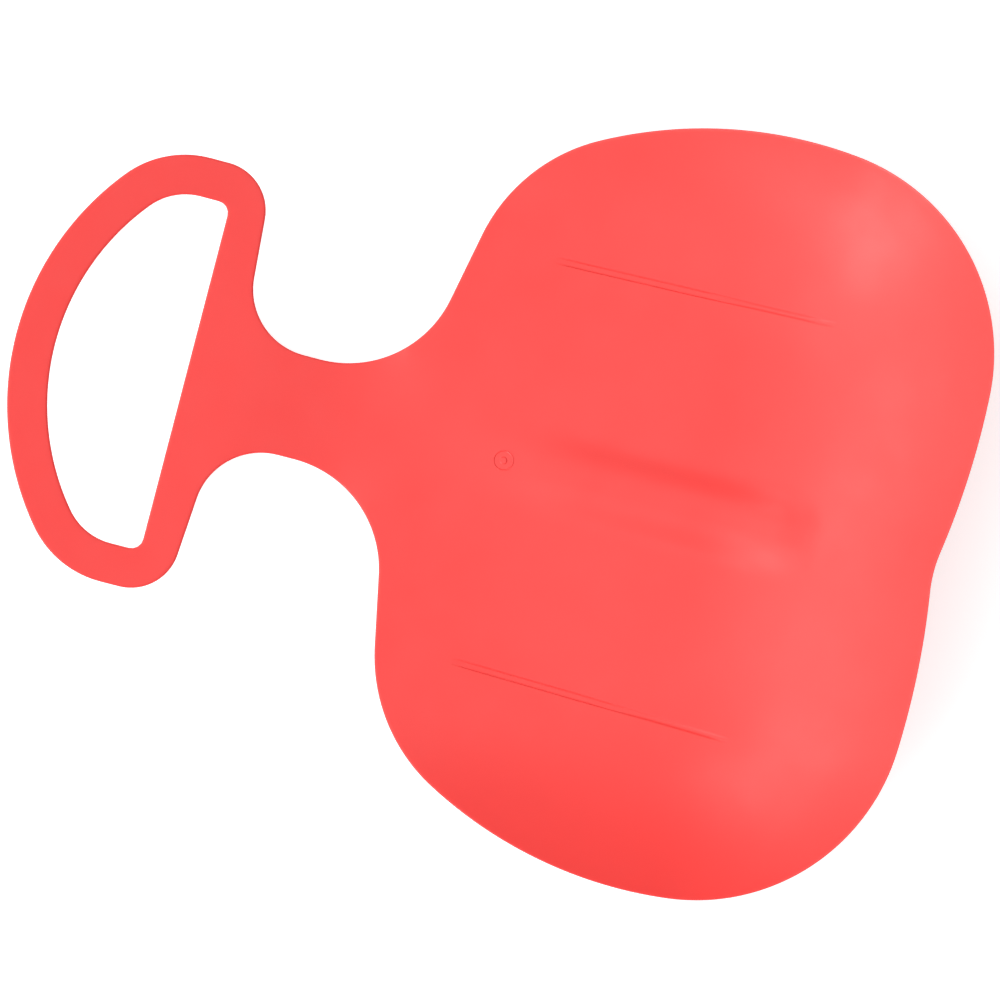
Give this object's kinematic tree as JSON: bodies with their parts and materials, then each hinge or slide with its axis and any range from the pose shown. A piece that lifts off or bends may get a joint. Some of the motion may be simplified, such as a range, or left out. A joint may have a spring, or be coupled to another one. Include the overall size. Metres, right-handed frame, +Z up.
{
  "type": "seat sled",
  "caption": "Shallow dished snow sled seat with a narrow neck and a D-shaped hand loop, moulded in one piece, with straight runners below.",
  "frame": {"origin": "on the ground that the runners stand on, below the middle of the outline's bounding box", "axes": "+X from the hand loop to the rear of the seat, +Z up; y = 0 is the plane of symmetry"},
  "size_m": [0.4794, 0.386, 0.0749],
  "materials": {
    "coral_plastic": "satin"
  },
  "bodies": {
    "root": {"sled_body": "coral_plastic"}
  },
  "joints": []
}
